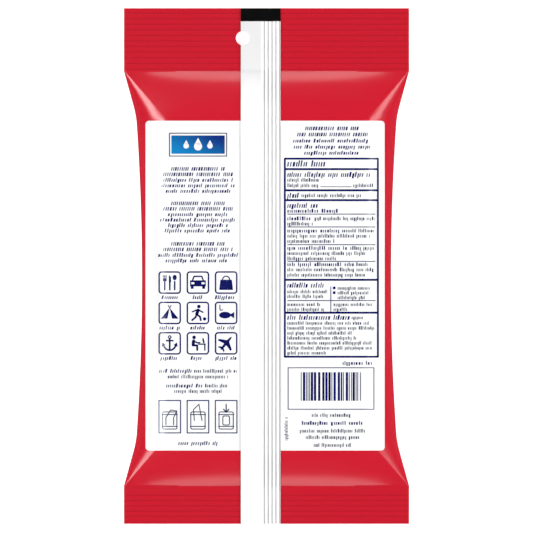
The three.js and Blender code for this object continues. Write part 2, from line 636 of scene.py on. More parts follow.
@dataclass(frozen=True)
class PrintedFilm:
    """Glossy red film with white panels on the pack's back, and painted shade that darkens its end seals
    and the bottoms of their pressed grooves.
    """

    red: Colour = (0.600, 0.0075, 0.024)
    deep_red: Colour = (0.340, 0.004, 0.013)
    white: Colour = (0.93, 0.93, 0.93)
    panel_edge: float = 0.12
    back_from: float = 11.5
    # shares of painted shade on the end seals and in the bottoms of their grooves
    seal_shade: float = 0.20
    groove_shade: float = 0.42
    groove_line: float = 0.45
    groove_fade: float = 0.6
    groove_margin: tuple[float, float] = (0.6, 1.2)
    seal_line: tuple[float, float] = (-0.2, 0.4)
    back_soft: float = 0.2
    cloud_size: float = 30.0
    cloud_range: tuple[float, float] = (0.3, 0.8)
    cloud_share: float = 0.06
    roughness: float = 0.21
    roughness_spread: float = 0.06
    seal_roughness: float = 0.02
    waviness: float = 0.02
    wave_size: float = 7.0
    wave_stretch: float = 0.45
    fine_size: float = 0.9
    fine_share: float = 0.2

    def groove_shade_mask(self, y: Wire, form: PouchForm, header: bool) -> Wire:
        """Where the painted shade of one seal's grooves goes: 1 in the bottom of its grooves and 0
        elsewhere.

        Args:
            y: Place along the pack.
            form: The pouch's shape.
            header: Whether this is the seal at +Y.

        Returns:
            The mask.
        """
        crimps = form.header_crimps if header else form.foot_crimps
        from_edge = form.half_length - y if header else y + form.half_length
        last = crimps.centres()[-1]
        near = (from_edge - crimps.first).fold(crimps.pitch / 2).ramp(self.groove_line, 0.0)
        inner = from_edge.ramp(last + crimps.width, last + crimps.width * self.groove_fade)
        return near * inner * from_edge.ramp(*self.groove_margin)

    def material(self, form: PouchForm, panels: Sequence[Field]) -> bpy.types.Material:
        """Builds the film's material.

        Args:
            form: The pouch's shape.
            panels: The white fields printed on its back.

        Returns:
            The material.
        """
        shader = Shader("printed_film")
        x, y, z = shader.position()
        clouds = shader.grain(self.cloud_size)
        fine = shader.grain(self.fine_size, 3.0)
        grooves = self.groove_shade_mask(y, form, True) + self.groove_shade_mask(y, form, False)
        before, after = self.seal_line
        seals = y.ramp(form.header_line + before, form.header_line + after)
        seals = seals + y.ramp(form.foot_line - before, form.foot_line - after)
        red = shader.mix(clouds.ramp(*self.cloud_range) * self.cloud_share, self.red, self.deep_red)
        # painted shade: the end seals and the bottoms of their grooves are mixed toward deep red
        red = shader.mix(seals * self.seal_shade + grooves * self.groove_shade, red, self.deep_red)
        panel = shader.rounded_field(x, y, panels[0], self.panel_edge)
        for field in panels[1:]:
            panel = panel.most(shader.rounded_field(x, y, field, self.panel_edge))
        panel = panel * z.ramp(self.back_from - self.back_soft, self.back_from + self.back_soft)
        colour = shader.mix(panel, red, self.white)
        uneven = self.roughness_spread * (clouds - NEUTRAL)
        roughness = self.roughness + uneven + self.seal_roughness * seals
        waves = shader.grain(self.wave_size, 1.0, Vector((1.0, self.wave_stretch, 1.0)))
        normal = shader.bump(waves * (1 - self.fine_share) + fine * self.fine_share, self.waviness)
        return shader.finish(Base_Color=colour, Roughness=roughness, Normal=normal, IOR=FILM_IOR)


@dataclass(frozen=True)
class FinFilm:
    """White film of the fin seal, with the black register mark at its header end, painted shade on its flap
    at the header seal, and painted shade in its grooves.
    """

    white: Colour = (0.94, 0.94, 0.945)
    # grey for the painted shade on the flap at the header seal, also the tone of the faint stains
    pressed: Colour = (0.66, 0.66, 0.67)
    # grey of the painted shade in the fin's grooves
    groove: Colour = (0.26, 0.26, 0.27)
    black: Colour = (0.001, 0.001, 0.0012)
    mark_length: float = 5.55
    mark_soft: float = 0.08
    mark_gloss: float = 0.12
    line_soft: float = 0.6
    line_start: float = 0.4
    header_shade_share: float = 0.58
    header_fade: float = 10.0
    header_edge: tuple[float, float] = (-0.5, -2.0)
    stain_size: float = 12.0
    stain_range: tuple[float, float] = (0.4, 0.9)
    stain_share: float = 0.12
    roughness: float = 0.30
    roughness_size: float = 5.0
    roughness_spread: float = 0.08
    wave_size: float = 6.0
    waviness: float = 0.02

    def material(self, form: PouchForm, grooves: Crimps) -> bpy.types.Material:
        """Builds the fin's material.

        Args:
            form: The pouch's shape.
            grooves: The grooves along the fin, measured across the pack.

        Returns:
            The material.
        """
        shader = Shader("fin_film")
        x, y, _ = shader.position()
        first = grooves.first
        # painted shade: grey lines along the bottoms of the fin's grooves
        line = (x - first).fold(grooves.pitch / 2).ramp(grooves.width * self.line_soft, 0.0)
        line = line * x.ramp(first - grooves.width, first - self.line_start * grooves.width)
        # painted shade: the flap left of the grooves greys from a little below the header seal to the cut
        # edge
        header = y.ramp(form.header_line - self.header_fade, form.header_line)
        header = header * x.ramp(first + self.header_edge[0], first + self.header_edge[1])
        colour = shader.mix(header * self.header_shade_share, self.white, self.pressed)
        colour = shader.mix(line, colour, self.groove)
        stains = shader.grain(self.stain_size).ramp(*self.stain_range)
        colour = shader.mix(stains * self.stain_share, colour, self.pressed)
        mark_line = form.half_length - self.mark_length
        mark = y.ramp(mark_line - self.mark_soft, mark_line + self.mark_soft)
        colour = shader.mix(mark, colour, self.black)
        uneven = self.roughness_spread * (shader.grain(self.roughness_size) - NEUTRAL)
        roughness = self.roughness + uneven - self.mark_gloss * mark
        normal = shader.bump(shader.grain(self.wave_size, 1.0), self.waviness)
        return shader.finish(Base_Color=colour, Roughness=roughness, Normal=normal, IOR=FILM_IOR)


@dataclass(frozen=True)
class Ink:
    """Printed ink, a little uneven in density."""

    name: str
    colour: Colour
    thin: Colour
    speck_size: float = 1.2
    speck_range: tuple[float, float] = (0.35, 0.8)
    speck_share: float = 0.5
    roughness: float = 0.26
    roughness_size: float = 4.0
    roughness_spread: float = 0.1

    def material(self) -> bpy.types.Material:
        """Builds the ink's material.

        Returns:
            The material.
        """
        shader = Shader(self.name)
        density = shader.grain(self.speck_size, 3.0).ramp(*self.speck_range)
        colour = shader.mix(density * self.speck_share, self.colour, self.thin)
        uneven = self.roughness_spread * (shader.grain(self.roughness_size) - NEUTRAL)
        return shader.finish(Base_Color=colour, Roughness=self.roughness + uneven, IOR=FILM_IOR)


@dataclass(frozen=True)
class GradedInk:
    """Blue ink that runs from light in one corner of its field to dark in the opposite one."""

    light: Colour = (0.002, 0.215, 0.540)
    dark: Colour = (0.0006, 0.022, 0.190)
    across_share: float = 0.55
    full_at: float = 0.95
    roughness: float = 0.24
    roughness_size: float = 4.0
    roughness_spread: float = 0.1

    def material(self, field: Field) -> bpy.types.Material:
        """Builds the ink's material.

        Args:
            field: The field that it fills.

        Returns:
            The material.
        """
        shader = Shader("graded_blue_ink")
        x, y, _ = shader.position()
        across = (x - (field.centre[0] - field.width / 2)) / field.width
        along = (y - (field.centre[1] - field.height / 2)) / field.height
        share = across * self.across_share + along * (1 - self.across_share)
        colour = shader.mix(share.ramp(0.0, self.full_at), self.light, self.dark)
        uneven = self.roughness_spread * (shader.grain(self.roughness_size) - NEUTRAL)
        return shader.finish(Base_Color=colour, Roughness=self.roughness + uneven, IOR=FILM_IOR)


@dataclass(frozen=True)
class LabelFilm:
    """White reseal label with a blue border line and a blue pull tab."""

    white: Colour = (0.90, 0.91, 0.93)
    blue: Colour = (0.010, 0.090, 0.420)
    border: float = 3.0
    line: float = 0.8
    corner_steps: tuple[float, float] = (2.0, 0.5)
    line_soft: float = 0.1
    roughness: float = 0.36
    roughness_size: float = 6.0
    roughness_spread: float = 0.1
    wave_size: float = 9.0
    waviness: float = 0.02

    def inset(self, field: Field, width: float, corner: float) -> Field:
        """A field inside another, a width from its sides and with a corner that is smaller by a step."""
        return Field(field.centre, field.width - 2 * width, field.height - 2 * width, field.corner - corner)

    def material(self, body: Field) -> bpy.types.Material:
        """Builds the label's material.

        Args:
            body: The label without its tab.

        Returns:
            The material.
        """
        shader = Shader("label_film")
        x, y, _ = shader.position()
        outer = self.inset(body, self.border, self.corner_steps[0])
        inner = self.inset(outer, self.line, self.corner_steps[1])
        masks = [shader.rounded_field(x, y, field, self.line_soft) for field in (outer, inner)]
        ring = masks[0] - masks[1]
        tab_line = body.centre[1] - body.height / 2
        tab = y.ramp(tab_line + self.line_soft / 2, tab_line - self.line_soft / 2)
        colour = shader.mix(ring.most(tab), self.white, self.blue)
        roughness = self.roughness + self.roughness_spread * (shader.grain(self.roughness_size) - NEUTRAL)
        normal = shader.bump(shader.grain(self.wave_size, 1.0), self.waviness)
        return shader.finish(Base_Color=colour, Roughness=roughness, Normal=normal, IOR=FILM_IOR)


# The pouch


@dataclass
class Pouch:
    """The film skin of the filled pouch, with its crimped seals and its hang hole."""

    form: PouchForm
    hole: Point
    hole_diameter: float = 5.8
    top_steps: int = 80
    side_steps: int = 16
    bottom_steps: int = 30
    body_rows: int = 150
    row_crowding: float = 0.6

    def section(self, y: float) -> list[Point]:
        """The closed outline across the pack, from its left edge over the back and round.

        Args:
            y: Place along the pack.

        Returns:
            Places across the pack and heights, with the first repeated at the end.
        """
        form = self.form
        from_seal = form.from_seal(y)
        half = form.half_thickness(from_seal)
        centre = form.shoulder_at(from_seal)
        reach = form.edge(from_seal) - centre
        quarter = math.pi / 2
        points = self.side(-centre, y, half, reach, 2 * quarter, quarter)[:-1]
        for i in range(self.top_steps):
            x = centre * (2 * i / self.top_steps - 1)
            points.append((x, form.top(x, y)))
        points += self.side(centre, y, half, reach, quarter, -quarter)[:-1]
        for i in range(self.bottom_steps):
            x = centre * (1 - 2 * i / self.bottom_steps)
            points.append((x, form.middle(y) - half + form.seal_offset(x, y, True)))
        points += self.side(-centre, y, half, reach, 3 * quarter, 2 * quarter)
        return points

    def side(
        self,
        centre: float,
        y: float,
        half: float,
        reach: float,
        start: float,
        end: float,
    ) -> list[Point]:
        """A stretch of a rounded side, between two angles.

        Args:
            centre: Where the side starts, across the pack.
            y: Place along the pack.
            half: Half the body's thickness there.
            reach: How far the side stands out.
            start: First angle.
            end: Last angle.

        Returns:
            Places across the pack and heights.
        """
        power = 2 / self.form.side_power
        steps = round(self.side_steps * abs(end - start) / (math.pi / 2))
        points = []
        for i in range(steps + 1):
            angle = start + (end - start) * i / steps
            out, up = math.cos(angle), math.sin(angle)
            x = centre + reach * math.copysign(abs(out) ** power, out)
            z = self.form.middle(y) + half * math.copysign(abs(up) ** power, up)
            points.append((x, z + self.form.seal_offset(x, y, True)))
        return points

    def mesh(self) -> bmesh.types.BMesh:
        """Rolls a grid into the film tube and closes its ends.

        Returns:
            The closed skin in millimetres.
        """
        rows = self.form.rows(self.body_rows, self.row_crowding)
        sections = [self.section(y) for y in rows]
        around = len(sections[0]) - 1
        mesh = bmesh.new()
        bmesh.ops.create_grid(mesh, x_segments=around, y_segments=len(rows) - 1, size=0.5)
        for vertex in mesh.verts:
            column = round((vertex.co.x + 0.5) * around)
            row = round((vertex.co.y + 0.5) * (len(rows) - 1))
            x, z = sections[row][column]
            vertex.co = Vector((x, rows[row], z))
        bmesh.ops.remove_doubles(mesh, verts=mesh.verts, dist=WELD)
        bmesh.ops.holes_fill(mesh, edges=[e for e in mesh.edges if e.is_boundary], sides=0)
        bmesh.ops.recalc_face_normals(mesh, faces=mesh.faces)
        return mesh

    def build(self, finish: PrintedFilm, panels: Sequence[Field]) -> Surface:
        """Makes the skin and dresses it.

        Args:
            finish: The film's look.
            panels: The white fields on its back.

        Returns:
            The skin's surface, for what is printed on it.
        """
        mesh = self.mesh()
        ceiling = 2 * self.form.thickness
        surface = Surface(mesh, ceiling)
        skin = finish_mesh("pouch_skin", mesh, finish.material(self.form, panels), True)
        punch(skin, self.hole, self.hole_diameter, ceiling)
        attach(skin, BODY)
        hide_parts("pouch")
        return surface


@dataclass
class FinSeal:
    """The film's two edges, welded together and folded flat along the pack's back."""

    form: PouchForm
    hole: Point
    hole_diameter: float
    left: float = -10.8
    right: float = 5.95
    rise: float = 0.6
    root_rise: float = 0.42
    film: float = 0.18
    grooves: Crimps = Crimps(first=-0.9, pitch=1.62, count=5, width=0.7, depth=0.2)
    groove_start: tuple[float, float] = (4.0, 9.0)
    row_pitch: float = 1.4
    flat_step: float = 0.9
    edge_gap: float = 0.1
    edge_step: float = 0.08

    def columns(self) -> list[float]:
        """Picks where the fin's mesh has a column.

        Returns:
            Places across the fin, in order.
        """
        flat = self.left
        places = []
        while flat < self.grooves.first - self.grooves.width:
            places.append(flat)
            flat += self.flat_step
        inner = [x for x in self.grooves.rows() if x < self.right - self.edge_gap]
        return places + inner + [self.right - self.edge_step, self.right]

    def height(self, x: float, y: float) -> float:
        """Height of the fin's upper side: its free edge stands up a little, and its root meets the film.

        Args:
            x: Place across the pack.
            y: Place along the pack.

        Returns:
            The height over the floor in millimetres.
        """
        back = self.form.top(x, y, pressed=False)
        if x >= self.right:
            return back + self.film
        lift = self.rise + (self.root_rise - self.rise) * smooth_step(self.left, self.grooves.first, x)
        pressed = smooth_step(*self.groove_start, self.form.half_length - y)
        return back + lift - self.grooves.depth_at(x) * pressed

    def build(self, finish: FinFilm) -> bpy.types.Object:
        """Makes the fin from a strip of film and dresses it.

        Args:
            finish: The film's look.

        Returns:
            The fin.
        """
        columns = self.columns()
        length = 2 * self.form.half_length
        steps = round(length / self.row_pitch)
        mesh = bmesh.new()
        bmesh.ops.create_grid(mesh, x_segments=len(columns) - 1, y_segments=steps, size=0.5)
        for vertex in mesh.verts:
            x = columns[round((vertex.co.x + 0.5) * (len(columns) - 1))]
            y = vertex.co.y * length
            vertex.co = Vector((x, y, self.height(x, y)))
        bmesh.ops.recalc_face_normals(mesh, faces=mesh.faces)
        bmesh.ops.solidify(mesh, geom=mesh.faces[:], thickness=self.film)
        fin = finish_mesh("fin_seal", mesh, finish.material(self.form, self.grooves), True)
        punch(fin, self.hole, self.hole_diameter, 2 * self.form.thickness)
        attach(fin, BODY)
        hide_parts("pouch")
        return fin


# Print


class Drawing:
    """Flat shapes in one ink, drawn in the plane of the pack's back and then laid on its film."""

    shortest = 0.004
    arc_step = 18.0
    joint_sides = 10

    def __init__(self) -> None:
        """Starts an empty drawing."""
        self.mesh = bmesh.new()

    def block(
        self,
        centre: Point,
        width: float,
        height: float,
        turn: float = 0.0,
        slant: float = 0.0,
    ) -> None:
        """A plain bar.

        Args:
            centre: Its middle.
            width: Its width.
            height: Its height.
            turn: Its turn in degrees.
            slant: How far its top leans to the right, as a share of its height.
        """
        shear = Matrix.Identity(4)
        shear[0][1] = slant
        size = Matrix.Diagonal((width, height, 1.0, 1.0))
        place = self.place(centre, turn) @ shear @ size
        bmesh.ops.create_grid(self.mesh, x_segments=1, y_segments=1, size=0.5, matrix=place)

    def place(self, centre: Point, turn: float = 0.0) -> Matrix:
        """A move to a place after a turn in degrees."""
        return Matrix.Translation((*centre, 0.0)) @ Matrix.Rotation(math.radians(turn), 4, "Z")

    def disc(
        self,
        centre: Point,
        width: float,
        height: float,
        turn: float = 0.0,
        sides: int = 20,
    ) -> list[bmesh.types.BMFace]:
        """A filled circle or ellipse.

        Args:
            centre: Its middle.
            width: Its width.
            height: Its height.
            turn: Its turn in degrees.
            sides: How many straight sides it is drawn with.

        Returns:
            Its face, in a list.
        """
        place = self.place(centre, turn) @ Matrix.Diagonal((width / 2, height / 2, 1.0, 1.0))
        made = bmesh.ops.create_circle(self.mesh, cap_ends=True, segments=sides, radius=1.0, matrix=place)
        return faces_of(made["verts"])

    def polygon(self, points: Sequence[Point]) -> None:
        """A filled shape with straight sides."""
        verts = [self.mesh.verts.new((x, y, 0.0)) for x, y in points]
        bmesh.ops.contextual_create(self.mesh, geom=verts)

    def rounded(self, field: Field) -> list[bmesh.types.BMFace]:
        """A filled rounded rectangle.

        Args:
            field: The rectangle, whose corner is more than 0.

        Returns:
            Its face, in a list.
        """
        place = self.place(field.centre) @ Matrix.Diagonal((field.width, field.height, 1.0, 1.0))
        made = bmesh.ops.create_grid(self.mesh, x_segments=1, y_segments=1, size=0.5, matrix=place)
        cut = bmesh.ops.bevel(
            self.mesh, geom=made["verts"], offset=field.corner, offset_type="OFFSET",
            affect="VERTICES", segments=6, profile=0.5, material=-1,
        )
        return faces_of(cut["verts"])

    def outline(self, faces: list[bmesh.types.BMFace], line: float) -> None:
        """Keeps only a line of a given width along the rim of some faces."""
        bmesh.ops.inset_region(
            self.mesh, faces=faces, thickness=line, use_boundary=True, use_even_offset=True
        )
        bmesh.ops.delete(self.mesh, geom=faces, context="FACES")

    def frame(self, field: Field, line: float) -> None:
        """A rounded rectangle drawn as a line."""
        self.outline(self.rounded(field), line)

    def ring(self, centre: Point, diameter: float, line: float) -> None:
        """A circle drawn as a line."""
        self.outline(self.disc(centre, diameter, diameter), line)

    def arc(self, centre: Point, radius: float, line: float, start: float, end: float) -> None:
        """A stretch of a circle drawn as a line.

        Args:
            centre: The circle's middle.
            radius: Its radius to the middle of the line.
            line: The line's width.
            start: First angle in degrees.
            end: Last angle in degrees.
        """
        towards = Vector((math.cos(math.radians(start)), math.sin(math.radians(start)), 0.0))
        middle = Vector((*centre, 0.0))
        ends = [self.mesh.verts.new(middle + towards * (radius + side * line / 2)) for side in (1, -1)]
        edge = self.mesh.edges.new(ends)
        steps = max(3, round(abs(end - start) / self.arc_step))
        bmesh.ops.spin(
            self.mesh, geom=[*ends, edge], cent=middle, axis=Vector((0, 0, 1)),
            angle=math.radians(end - start), steps=steps, use_merge=False,
        )

    def stroke(self, points: Sequence[Point], line: float) -> None:
        """A bent line with round joints.

        Args:
            points: Its ends and bends, in order.
            line: Its width.
        """
        for (x0, y0), (x1, y1) in zip(points, points[1:]):
            span = math.hypot(x1 - x0, y1 - y0)
            turn = math.degrees(math.atan2(y1 - y0, x1 - x0))
            self.block(((x0 + x1) / 2, (y0 + y1) / 2), span, line, turn)
        for point in points:
            self.disc(point, line, line, sides=self.joint_sides)

    def split(self, pitch: float) -> None:
        """Cuts what is drawn so far into a grid, so that it can follow a curved surface.

        Args:
            pitch: The grid's pitch.
        """
        for axis, normal in enumerate((Vector((1.0, 0.0, 0.0)), Vector((0.0, 1.0, 0.0)))):
            places = [vertex.co[axis] for vertex in self.mesh.verts]
            for i in range(math.ceil(min(places) / pitch), math.floor(max(places) / pitch) + 1):
                geometry = self.mesh.verts[:] + self.mesh.edges[:] + self.mesh.faces[:]
                cut = normal * (i * pitch)
                bmesh.ops.bisect_plane(
                    self.mesh, geom=geometry, dist=self.shortest, plane_co=cut, plane_no=normal
                )

    def lay(self, surface: Surface, over: float, thickness: float) -> bmesh.types.BMesh:
        """Lays the drawing on a surface as a thin layer of ink.

        Args:
            surface: What it is printed on.
            over: Height of the ink's upper side over the surface.
            thickness: Thickness of the ink.

        Returns:
            The finished shape.
        """
        bmesh.ops.dissolve_degenerate(self.mesh, dist=self.shortest, edges=self.mesh.edges)
        turn_up(self.mesh)
        for vertex in self.mesh.verts:
            vertex.co.z = surface.height(vertex.co.x, vertex.co.y) + over
        bmesh.ops.solidify(self.mesh, geom=self.mesh.faces[:], thickness=thickness)
        return self.mesh


class Type(Enum):
    """Kinds of printed line, set in plain upright marks: tall height, mark width and slant."""

    TITLE = (2.6, 0.52, 0.18)
    HEADING = (2.1, 0.46, 0.18)
    CAPITALS = (1.5, 0.42, 0.22)
    STRONG = (1.6, 0.42, 0.0)
    STRONG_SLANTED = (1.6, 0.42, 0.22)
    PLAIN = (1.55, 0.32, 0.0)
    SMALL = (1.45, 0.30, 0.0)

    @property
    def is_strong(self) -> bool:
        """Whether it is printed in the dark ink."""
        return self not in (Type.PLAIN, Type.SMALL)


class Typesetter:
    """Fills lines of a panel with rows of plain upright marks."""

    low_share = 0.72
    tall_chance = 0.24
    deep_chance = 0.10
    mark_widths = (0.85, 1.0, 1.0, 1.2, 1.7)
    gaps = (0.8, 1.0, 1.25)
    word_gap = 2.4
    word_lengths = (4, 14)

    def __init__(self, strong: Drawing, plain: Drawing, seed: int) -> None:
        """Takes the drawings that the lines go into.

        Args:
            strong: The drawing for dark lines.
            plain: The drawing for light lines.
            seed: Seed of the marks' sizes.
        """
        self.strong = strong
        self.plain = plain
        self.chance = random.Random(seed)

    def mark_height(self, kind: Type) -> tuple[float, float]:
        """Picks the size of the next mark.

        Args:
            kind: The type's kind.

        Returns:
            Its height, and how far its middle is over the middle of the line.
        """
        tall = kind.value[0]
        if kind is Type.CAPITALS:
            return tall, 0.0
        low = tall * self.low_share
        spare = tall - low
        pick = self.chance.random()
        if pick < self.tall_chance:
            return tall, 0.0
        if pick < self.tall_chance + self.deep_chance:
            return tall, -spare
        return low, -spare / 2

    def line(self, left: float, right: float, y: float, kind: Type, turn: float = 0.0) -> None:
        """One line of marks, broken into words.

        Args:
            left: Where it starts.
            right: Where it ends.
            y: The height of its middle.
            kind: The type's kind.
            turn: The line's turn about its start, in degrees.
        """
        _, mark, slant = kind.value
        drawing = self.strong if kind.is_strong else self.plain
        cosine, sine = math.cos(math.radians(turn)), math.sin(math.radians(turn))
        place = left
        marks = self.chance.randint(*self.word_lengths)
        while place < right - mark / 2:
            width = min(mark * self.chance.choice(self.mark_widths), right - place)
            height, rise = self.mark_height(kind)
            along = place + width / 2 - left
            centre = (left + along * cosine - rise * sine, y + along * sine + rise * cosine)
            drawing.block(centre, width, height, turn, slant)
            place += width + mark * self.chance.choice(self.gaps)
            marks -= 1
            if marks == 0:
                marks = self.chance.randint(*self.word_lengths)
                place += mark * self.word_gap

    def centred(self, centre: float, y: float, pitch: float, widths: Sequence[float], kind: Type) -> None:
        """A block of lines about one centre line, from its top line's height down."""
        for i, width in enumerate(widths):
            self.line(centre - width / 2, centre + width / 2, y - i * pitch, kind)

    def ranged(self, left: float, y: float, pitch: float, widths: Sequence[float], kind: Type) -> None:
        """A block of lines from one left margin, from its top line's height down."""
        for i, width in enumerate(widths):
            self.line(left, left + width, y - i * pitch, kind)


@dataclass(frozen=True)
class Pictograms:
    """Plain signs for places where wipes are handy, each drawn about the middle of its frame."""

    ink: Drawing

    def cutlery(self, x: float, y: float) -> None:
        """A fork, a knife and a spoon.

        Args:
            x: The middle of its frame across the pack.
            y: The middle of its frame along the pack.
        """
        for tine in (-1, 0, 1):
            self.ink.block((x - 2.1 + 0.6 * tine, y + 2.2), 0.36, 1.9)
        self.ink.disc((x - 2.1, y + 1.1), 1.7, 1.4)
        self.ink.polygon([(x - 0.3, y + 3.2), (x + 0.5, y + 2.4), (x + 0.6, y + 0.1), (x - 0.3, y + 0.1)])
        self.ink.disc((x + 2.1, y + 2.1), 1.7, 2.3)
        for shift in (-2.1, 0.05, 2.1):
            self.ink.block((x + shift, y - 1.3), 0.66, 3.9)

    def car(self, x: float, y: float) -> None:
        """A car from the front.

        Args:
            x: The middle of its frame across the pack.
            y: The middle of its frame along the pack.
        """
        roof = [(x - 2.3, y + 0.8), (x - 1.6, y + 2.6), (x + 1.6, y + 2.6), (x + 2.3, y + 0.8)]
        self.ink.stroke(roof, 0.6)
        self.ink.block((x, y + 0.55), 6.6, 0.8)
        self.ink.block((x, y - 1.15), 6.6, 0.9)
        self.ink.block((x, y - 0.3), 3.0, 1.2)
        for side in (-1, 1):
            self.ink.block((x + side * 3.05, y - 0.3), 0.5, 1.2)
            self.ink.block((x + side * 2.4, y - 2.0), 1.2, 1.2)

    def bag(self, x: float, y: float) -> None:
        """A shopping bag."""
        self.ink.polygon([(x - 2.4, y + 1.2), (x + 2.4, y + 1.2), (x + 2.9, y - 3.1), (x - 2.9, y - 3.1)])
        self.ink.arc((x, y + 1.2), 1.5, 0.5, 0.0, 180.0)

    def tent(self, x: float, y: float) -> None:
        """A tent with an open door.

        Args:
            x: The middle of its frame across the pack.
            y: The middle of its frame along the pack.
        """
        for side in (-1, 1):
            self.ink.polygon([(x, y + 2.2), (x + side * 1.0, y - 2.4), (x + side * 3.7, y - 2.4)])
            self.ink.stroke([(x, y + 2.2), (x - side * 0.6, y + 3.1)], 0.4)

    def player(self, x: float, y: float) -> None:
        """A figure with a ball.

        Args:
            x: The middle of its frame across the pack.
            y: The middle of its frame along the pack.
        """
        self.ink.disc((x + 0.4, y + 2.7), 1.5, 1.5)
        self.ink.stroke([(x + 0.1, y + 1.2), (x - 0.5, y - 0.5)], 1.3)
        self.ink.stroke([(x - 2.3, y + 0.5), (x - 0.1, y + 1.4), (x + 2.1, y + 0.3)], 0.6)
        self.ink.stroke([(x - 0.5, y - 0.6), (x - 1.0, y - 1.8), (x - 2.4, y - 3.0)], 0.8)
        self.ink.stroke([(x - 0.4, y - 0.6), (x + 0.9, y - 1.6), (x + 1.2, y - 3.0)], 0.8)
        self.ink.disc((x + 2.8, y - 2.5), 1.4, 1.4)

    def fish(self, x: float, y: float) -> None:
        """A fish under a line and hook.

        Args:
            x: The middle of its frame across the pack.
            y: The middle of its frame along the pack.
        """
        self.ink.disc((x - 0.5, y - 0.9), 5.0, 2.8)
        self.ink.polygon([(x + 1.4, y - 0.9), (x + 3.4, y + 0.5), (x + 3.4, y - 2.3)])
        self.ink.stroke([(x - 2.6, y + 3.3), (x - 2.6, y + 1.7)], 0.4)
        self.ink.arc((x - 2.0, y + 1.7), 0.6, 0.4, 180.0, 350.0)

    def anchor(self, x: float, y: float) -> None:
        """An anchor.

        Args:
            x: The middle of its frame across the pack.
            y: The middle of its frame along the pack.
        """
        self.ink.ring((x, y + 2.6), 1.6, 0.5)
        self.ink.block((x, y - 0.5), 0.75, 4.9)
        self.ink.block((x, y + 1.1), 3.2, 0.65)
        self.ink.arc((x, y - 0.3), 2.6, 0.75, 195.0, 345.0)
        for side in (-1, 1):
            fluke = [(x + side * 3.1, y + 0.4), (x + side * 1.6, y - 0.7), (x + side * 3.3, y - 1.5)]
            self.ink.polygon(fluke)

    def desk(self, x: float, y: float) -> None:
        """A figure at a desk.

        Args:
            x: The middle of its frame across the pack.
            y: The middle of its frame along the pack.
        """
        self.ink.disc((x - 1.6, y + 2.5), 1.5, 1.5)
        self.ink.stroke([(x - 1.8, y + 1.0), (x - 2.0, y - 0.7)], 1.3)
        self.ink.stroke([(x - 1.6, y + 0.9), (x - 0.3, y + 0.2), (x + 0.8, y + 0.3)], 0.6)
        self.ink.stroke([(x - 2.0, y - 0.9), (x - 0.3, y - 0.9), (x - 0.3, y - 2.8)], 0.8)
        self.ink.block((x + 1.7, y - 0.35), 3.2, 0.55)
        self.ink.block((x + 2.9, y - 1.8), 0.55, 2.5)
        self.ink.block((x + 2.3, y + 1.1), 0.7, 2.1, 12.0)

    def plane(self, x: float, y: float) -> None:
        """An aeroplane from above.

        Args:
            x: The middle of its frame across the pack.
            y: The middle of its frame along the pack.
        """
        lean = math.radians(-40.0)
        cosine, sine = math.cos(lean), math.sin(lean)
        wing = [(0.2, 1.5), (3.5, -0.5), (3.5, -1.3), (0.2, -0.5)]
        tail = [(0.1, -2.0), (1.6, -2.9), (1.6, -3.5), (0.1, -3.0)]
        self.ink.disc((x, y), 1.2, 7.2, math.degrees(lean))
        for side in (-1, 1):
            for blade in (wing, tail):
                turned = [(side * a * cosine - b * sine, side * a * sine + b * cosine) for a, b in blade]
                self.ink.polygon([(x + across, y + along) for across, along in turned])

    def rows(self) -> list[list[Callable[[float, float], None]]]:
        """Orders the signs as they stand.

        Returns:
            Rows of signs, from the top.
        """
        return [
            [self.cutlery, self.car, self.bag],
            [self.tent, self.player, self.fish],
            [self.anchor, self.desk, self.plane],
        ]


